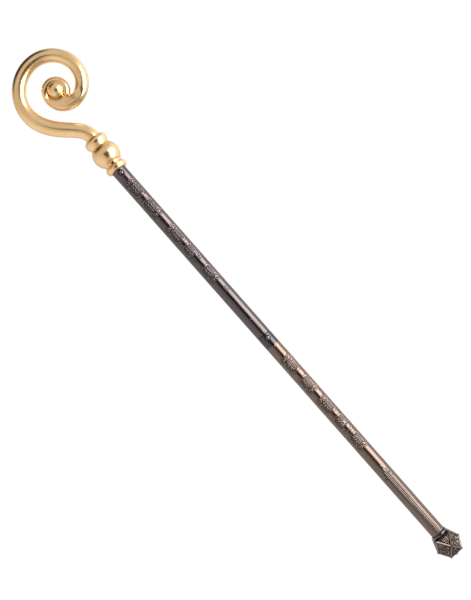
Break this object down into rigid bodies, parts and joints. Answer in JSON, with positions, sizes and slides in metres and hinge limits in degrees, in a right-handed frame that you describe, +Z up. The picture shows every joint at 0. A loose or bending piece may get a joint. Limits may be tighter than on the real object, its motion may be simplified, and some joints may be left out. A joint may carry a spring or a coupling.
{
  "type": "bishop's crosier",
  "caption": "Bishop's crosier lying down: a plain gilt spiral crook and ball knop on a jointed silver staff engraved with scroll panels, ending in a faceted foot with beaded corners.",
  "frame": {"origin": "middle of the outline seen from above, on the surface that the crosier lies on", "axes": "+X along the staff from the crook to the foot, +Z up out of the side that shows the engraved panels"},
  "size_m": [1.4442, 0.1824, 0.0634],
  "materials": {
    "gilt": "polished gilt metal, a little worn",
    "dark_silver": "dark toned silver, engraved",
    "brown_silver": "brown toned silver, engraved"
  },
  "bodies": {
    "root": {"crook": "gilt", "knop": "gilt", "upper_tube": "dark_silver", "upper_stud": "dark_silver", "lower_tube": "brown_silver", "joint_stud": "brown_silver", "foot_collar": "dark_silver", "foot_knob": "brown_silver"}
  },
  "joints": []
}
